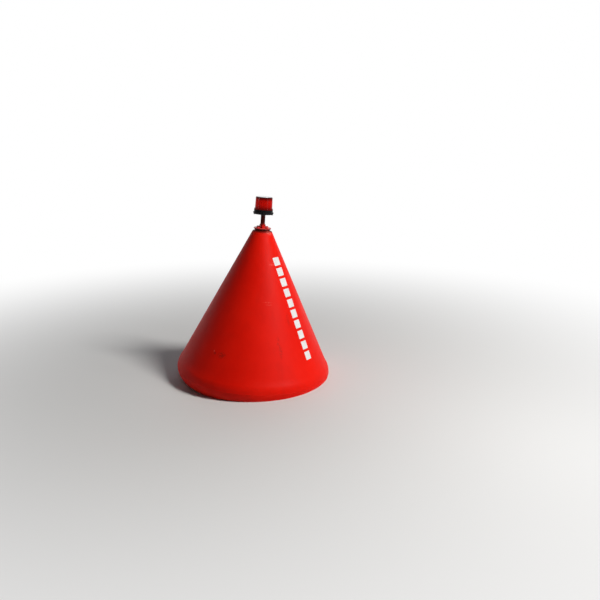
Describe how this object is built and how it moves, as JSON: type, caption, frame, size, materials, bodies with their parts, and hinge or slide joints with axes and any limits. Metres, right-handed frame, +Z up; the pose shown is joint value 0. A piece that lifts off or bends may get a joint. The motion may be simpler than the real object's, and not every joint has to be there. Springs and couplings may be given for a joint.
{
  "type": "navigation buoy",
  "caption": "Conical red navigation buoy with a lantern on a short mast, a ballasted tail tube, a mooring shackle and a swivel.",
  "frame": {"origin": "on the buoy's vertical axis at the level of its waterline", "axes": "+Z up along the buoy's axis, +X and +Y level; the shackle's pin lies along Y"},
  "size_m": [1.2028, 1.2028, 2.3551],
  "materials": {
    "red_pe": "satin moulded polyethylene",
    "red_paint": "gloss paint on steel",
    "black_paint": "satin paint on steel",
    "rubber": "matte",
    "galvanised": "hot-dip galvanised, dull",
    "cast_iron": "bitumen coated",
    "black_plastic": "satin moulded",
    "red_lens": "dark red tinted polycarbonate",
    "lamp_white": "matte",
    "solar_cells": "glossy",
    "cover": "clear and glossy over the dark cells",
    "white_film": "retroreflective sheeting"
  },
  "bodies": {
    "buoy": {"float_body": "red_pe", "fill_plug_1": "rubber", "fill_plug_2": "rubber", "central_tube": "galvanised", "top_gasket": "rubber", "top_plate": "red_paint", "mast_pipe": "red_paint", "mast_gusset_1": "red_paint", "mast_gusset_2": "red_paint", "mast_gusset_3": "red_paint", "mast_gusset_4": "red_paint", "lamp_plate": "black_paint", "lantern_housing": "black_plastic", "lens_seal": "rubber", "lantern_lens": "red_lens", "lamp_column": "lamp_white", "lens_bezel": "red_lens", "solar_panel": "solar_cells", "panel_cover": "cover", "base_gasket": "rubber", "base_flange": "galvanised", "tail_gusset_1": "galvanised", "tail_gusset_2": "galvanised", "tail_gusset_3": "galvanised", "tail_gusset_4": "galvanised", "high_collar": "galvanised", "ballast_disc_1": "cast_iron", "ballast_disc_2": "cast_iron", "ballast_disc_3": "cast_iron", "ballast_disc_4": "cast_iron", "low_collar": "galvanised", "end_cap": "galvanised", "eye_plate": "galvanised"},
    "shackle": {"shackle_bow": "galvanised", "shackle_pin": "galvanised", "shackle_nut": "galvanised"},
    "swivel_link": {"swivel_loop": "galvanised"},
    "swivel_end": {"swivel_eye": "galvanised"}
  },
  "joints": [
    {"name": "shackle_swing", "type": "hinge", "parent": "buoy", "child": "shackle", "pos_m": [0, 0, -0.7067], "axis": [0, 1, 0], "range_deg": [-85, 85]},
    {"name": "swivel_rock", "type": "hinge", "parent": "shackle", "child": "swivel_link", "pos_m": [0, 0, -0.7507], "axis": [1, 0, 0], "range_deg": [-35, 35]},
    {"name": "swivel_turn", "type": "hinge", "parent": "swivel_link", "child": "swivel_end", "pos_m": [0, 0, -0.8624], "axis": [0, 0, 1], "continuous": true}
  ]
}
